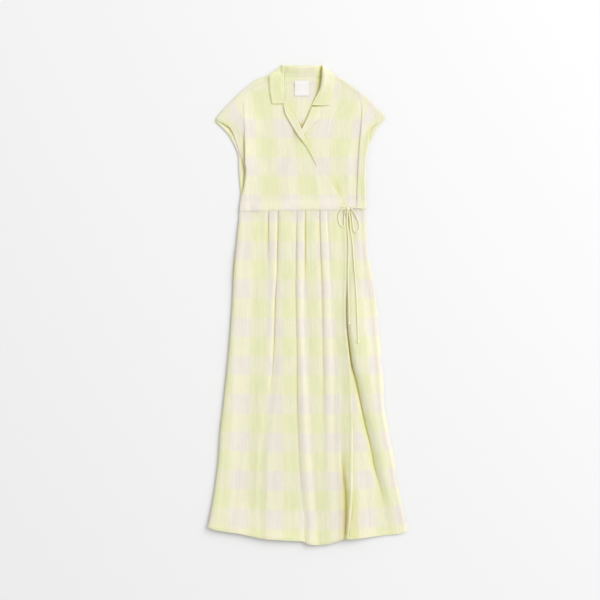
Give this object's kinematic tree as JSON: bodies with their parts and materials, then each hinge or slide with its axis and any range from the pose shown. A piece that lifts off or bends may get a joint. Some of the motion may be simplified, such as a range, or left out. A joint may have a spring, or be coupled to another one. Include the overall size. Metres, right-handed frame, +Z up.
{
  "type": "wrap dress",
  "caption": "Checked gauze wrap dress with short cap sleeves, turned collar and lapels, pleated long skirt and side tie, laid flat face up.",
  "frame": {"origin": "on the surface that the dress lies on, under the middle of its bounding box", "axes": "+X to the viewer's right across the dress as seen from its front, +Y from the hem towards the neck, +Z up from the surface, out of the front"},
  "size_m": [0.5565, 1.3434, 0.0204],
  "materials": {
    "check_gauze": "matt crinkled cotton gauze with a large soft check in pale pink, cream and yellow-green",
    "tie_rouleau": "the same gauze turned into a narrow round tie",
    "label_tape": "smooth white woven tape, left bare"
  },
  "bodies": {
    "root": {"bodice_back": "check_gauze", "skirt_back": "check_gauze", "bodice_front_under": "check_gauze", "skirt_under": "check_gauze", "bodice_front_over": "check_gauze", "skirt_over": "check_gauze", "lapel_under": "check_gauze", "lapel_over": "check_gauze", "collar_stand": "check_gauze", "collar_fall": "check_gauze", "collar_leaf_left": "check_gauze", "collar_leaf_right": "check_gauze", "pocket_mouth": "check_gauze", "neck_label": "label_tape", "tie_strap_over": "tie_rouleau", "tie_strap_side": "tie_rouleau", "tie_knot": "tie_rouleau", "tie_loop_left": "tie_rouleau", "tie_loop_right": "tie_rouleau", "tie_tail_one": "tie_rouleau", "tie_tail_two": "tie_rouleau", "tie_end_one": "tie_rouleau", "tie_end_two": "tie_rouleau"}
  },
  "joints": []
}
